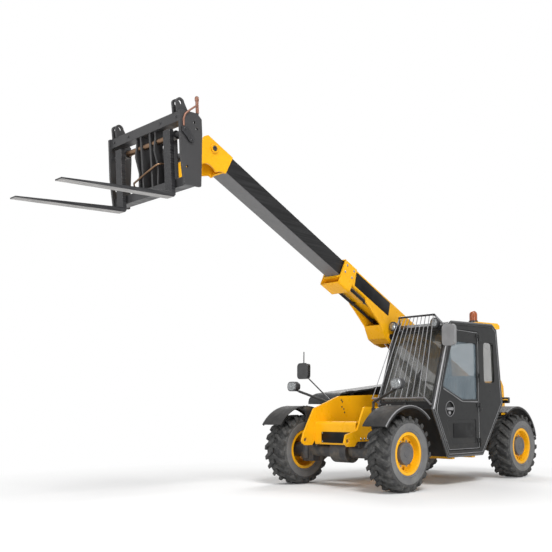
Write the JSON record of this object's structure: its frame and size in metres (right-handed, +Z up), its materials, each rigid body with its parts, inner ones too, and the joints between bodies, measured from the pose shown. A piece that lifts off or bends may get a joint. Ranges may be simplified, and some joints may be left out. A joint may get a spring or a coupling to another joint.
{
  "type": "telehandler",
  "caption": "Compact telehandler with a two-stage telescopic boom over the chassis, pallet forks on a tilting carriage, a left-hand cab and four steered wheels.",
  "frame": {"origin": "on the floor, under the middle of the bounding box with the boom as in the picture", "axes": "+X forward along the boom, +Y to the cab side (left), +Z up"},
  "size_m": [6.8069, 2.01, 3.6566],
  "materials": {
    "yellow_paint": "gloss warm yellow paint",
    "yellow_plastic": "moulded roof cap in the body yellow",
    "cast_iron": "dark painted casting",
    "dark_cast": "dark grey painted axle castings",
    "dark_plastic": "dark grey moulded plastic",
    "cab_grey": "satin charcoal cab shell",
    "dark_paint": "satin near-black paint",
    "tinted_glass": "lightly tinted safety glass",
    "seat_fabric": "dark woven seat cover",
    "amber_lens": "amber beacon dome",
    "chrome_rod": "hard chromed ram rods",
    "fork_steel": "black painted fork steel, worn pale underneath",
    "tyre_rubber": "black-grey tyre rubber"
  },
  "bodies": {
    "chassis": {"chassis_frame": "yellow_paint", "counterweight": "cast_iron", "front_axle": "dark_cast", "rear_axle": "dark_cast", "engine_bay": "dark_plastic", "engine_block": "cast_iron", "cab_frame": "cab_grey", "cab_roof": "yellow_plastic", "cab_glass": "tinted_glass", "screen_guard": "dark_paint", "seat": "seat_fabric", "steering_console": "dark_plastic", "beacon": "amber_lens", "lamps": "dark_plastic", "mirrors": "dark_plastic"},
    "engine_cover": {"engine_cover": "dark_plastic"},
    "door": {"door_panel": "cab_grey", "door_glass": "tinted_glass"},
    "outer_boom": {"outer_boom": "yellow_paint"},
    "inner_boom": {"inner_boom": "dark_paint", "boom_head": "yellow_paint", "tilt_barrel": "dark_paint"},
    "tilt_rod": {"tilt_rod": "chrome_rod"},
    "carriage": {"carriage_frame": "dark_paint", "forks": "fork_steel"},
    "lift_barrel": {"lift_barrel": "dark_paint"},
    "lift_rod": {"lift_rod": "chrome_rod"},
    "hub_fl": {"knuckle_fl": "dark_cast", "fender_fl": "dark_plastic"},
    "wheel_fl": {"rim_fl": "yellow_paint", "tyre_fl": "tyre_rubber"},
    "hub_fr": {"knuckle_fr": "dark_cast", "fender_fr": "dark_plastic"},
    "wheel_fr": {"rim_fr": "yellow_paint", "tyre_fr": "tyre_rubber"},
    "hub_rl": {"knuckle_rl": "dark_cast", "fender_rl": "dark_plastic"},
    "wheel_rl": {"rim_rl": "yellow_paint", "tyre_rl": "tyre_rubber"},
    "hub_rr": {"knuckle_rr": "dark_cast", "fender_rr": "dark_plastic"},
    "wheel_rr": {"rim_rr": "yellow_paint", "tyre_rr": "tyre_rubber"}
  },
  "joints": [
    {"name": "steer_fl", "type": "hinge", "parent": "chassis", "child": "hub_fl", "pos_m": [-0.27298, 0.6, 0.405], "axis": [0, 0, 1], "range_deg": [-30, 30]},
    {"name": "spin_fl", "type": "hinge", "parent": "hub_fl", "child": "wheel_fl", "pos_m": [-0.27298, 0.77, 0.405], "axis": [0, 1, 0], "continuous": true},
    {"name": "steer_fr", "type": "hinge", "parent": "chassis", "child": "hub_fr", "pos_m": [-0.27298, -0.6, 0.405], "axis": [0, 0, 1], "range_deg": [-30, 30]},
    {"name": "spin_fr", "type": "hinge", "parent": "hub_fr", "child": "wheel_fr", "pos_m": [-0.27298, -0.77, 0.405], "axis": [0, 1, 0], "continuous": true},
    {"name": "steer_rl", "type": "hinge", "parent": "chassis", "child": "hub_rl", "pos_m": [-2.70298, 0.6, 0.405], "axis": [0, 0, 1], "range_deg": [-30, 30]},
    {"name": "spin_rl", "type": "hinge", "parent": "hub_rl", "child": "wheel_rl", "pos_m": [-2.70298, 0.77, 0.405], "axis": [0, 1, 0], "continuous": true},
    {"name": "steer_rr", "type": "hinge", "parent": "chassis", "child": "hub_rr", "pos_m": [-2.70298, -0.6, 0.405], "axis": [0, 0, 1], "range_deg": [-30, 30]},
    {"name": "spin_rr", "type": "hinge", "parent": "hub_rr", "child": "wheel_rr", "pos_m": [-2.70298, -0.77, 0.405], "axis": [0, 1, 0], "continuous": true},
    {"name": "boom_lift", "type": "hinge", "parent": "chassis", "child": "outer_boom", "pos_m": [-3.02298, -0.1, 1.2], "axis": [0, -1, 0], "range_deg": [-29, 40]},
    {"name": "boom_extend", "type": "slide", "parent": "outer_boom", "child": "inner_boom", "axis": [0.9026, 0, 0.4305], "range_m": [-1.85, 0.15]},
    {"name": "carriage_tilt", "type": "hinge", "parent": "inner_boom", "child": "carriage", "pos_m": [2.14675, -0.1, 3.02545], "axis": [0, 1, 0], "range_deg": [-46, 75]},
    {"name": "tilt_rod_slide", "type": "slide", "parent": "inner_boom", "child": "tilt_rod", "axis": [0.9053, 0, -0.4248], "range_m": [-0.113, 0.184]},
    {"name": "lift_barrel_swing", "type": "hinge", "parent": "chassis", "child": "lift_barrel", "pos_m": [-2.62298, -0.1, 0.65], "axis": [0, -1, 0], "range_deg": [-28.2, 38.9]},
    {"name": "lift_rod_slide", "type": "slide", "parent": "lift_barrel", "child": "lift_rod", "axis": [0.8117, 0, 0.584], "range_m": [-0.33, 0.455]},
    {"name": "door_swing", "type": "hinge", "parent": "chassis", "child": "door", "pos_m": [-1.75298, 0.882, 1.1], "axis": [0, 0, 1], "range_deg": [0, 110]},
    {"name": "cover_lift", "type": "hinge", "parent": "chassis", "child": "engine_cover", "pos_m": [-0.60298, -0.368, 1.075], "axis": [-0.9934, 0, 0.1149], "range_deg": [0, 55]}
  ],
  "couplings": [
    {"joint": "steer_fr", "follows": "steer_fl", "ratio": 1},
    {"joint": "steer_rr", "follows": "steer_rl", "ratio": 1},
    {"joint": "lift_barrel_swing", "follows": "boom_lift", "ratio": 0.97},
    {"joint": "lift_rod_slide", "follows": "boom_lift", "m_per_rad": 0.65},
    {"joint": "tilt_rod_slide", "follows": "carriage_tilt", "m_per_rad": 0.14}
  ]
}
